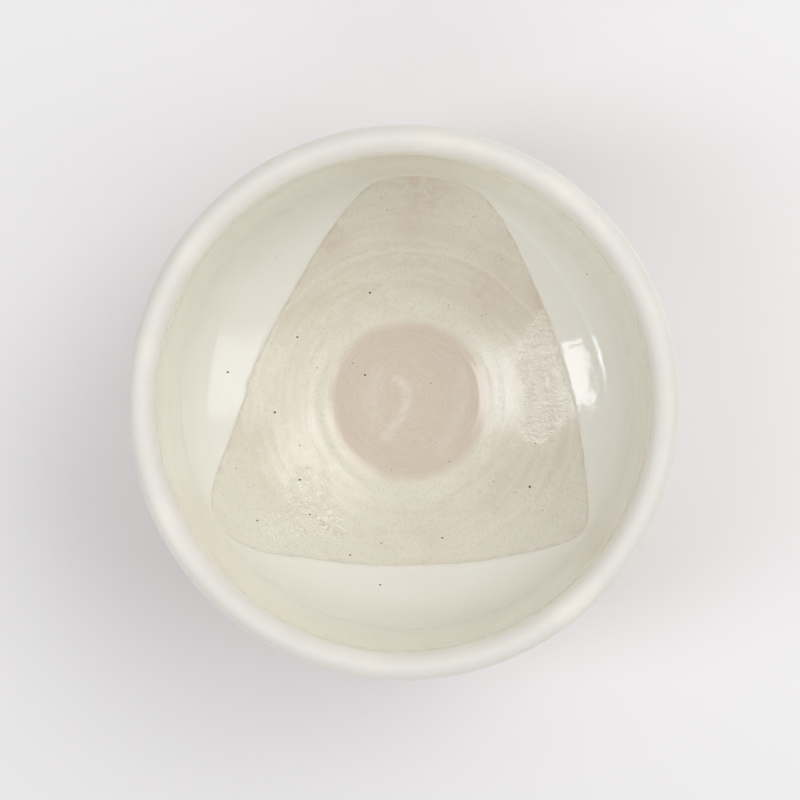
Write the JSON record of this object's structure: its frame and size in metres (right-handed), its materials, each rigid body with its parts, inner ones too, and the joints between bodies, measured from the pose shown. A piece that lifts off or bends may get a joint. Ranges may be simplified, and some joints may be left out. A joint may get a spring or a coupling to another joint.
{
  "type": "matcha cup",
  "caption": "Hand-thrown stoneware matcha cup with a rounded lip, a dished floor with a tea well, a trimmed foot ring and white glaze that leaves a three-sided window inside",
  "frame": {"origin": "on the table under the middle of the foot ring, on the wheel's axis", "axes": "+Z up along the wheel's axis; in the picture, which looks straight down, +X is to the right and +Y is up"},
  "size_m": [0.111, 0.1116, 0.07],
  "materials": {
    "clay": "bare trimmed stoneware, fine grog and iron specks, matt",
    "liner_glaze": "thin satin glaze over warm clay, with throwing rings and iron specks",
    "white_glaze": "thick glossy creamy white glaze"
  },
  "bodies": {
    "root": {"clay_body": "clay", "liner_glaze": "liner_glaze", "white_glaze": "white_glaze"}
  },
  "joints": []
}
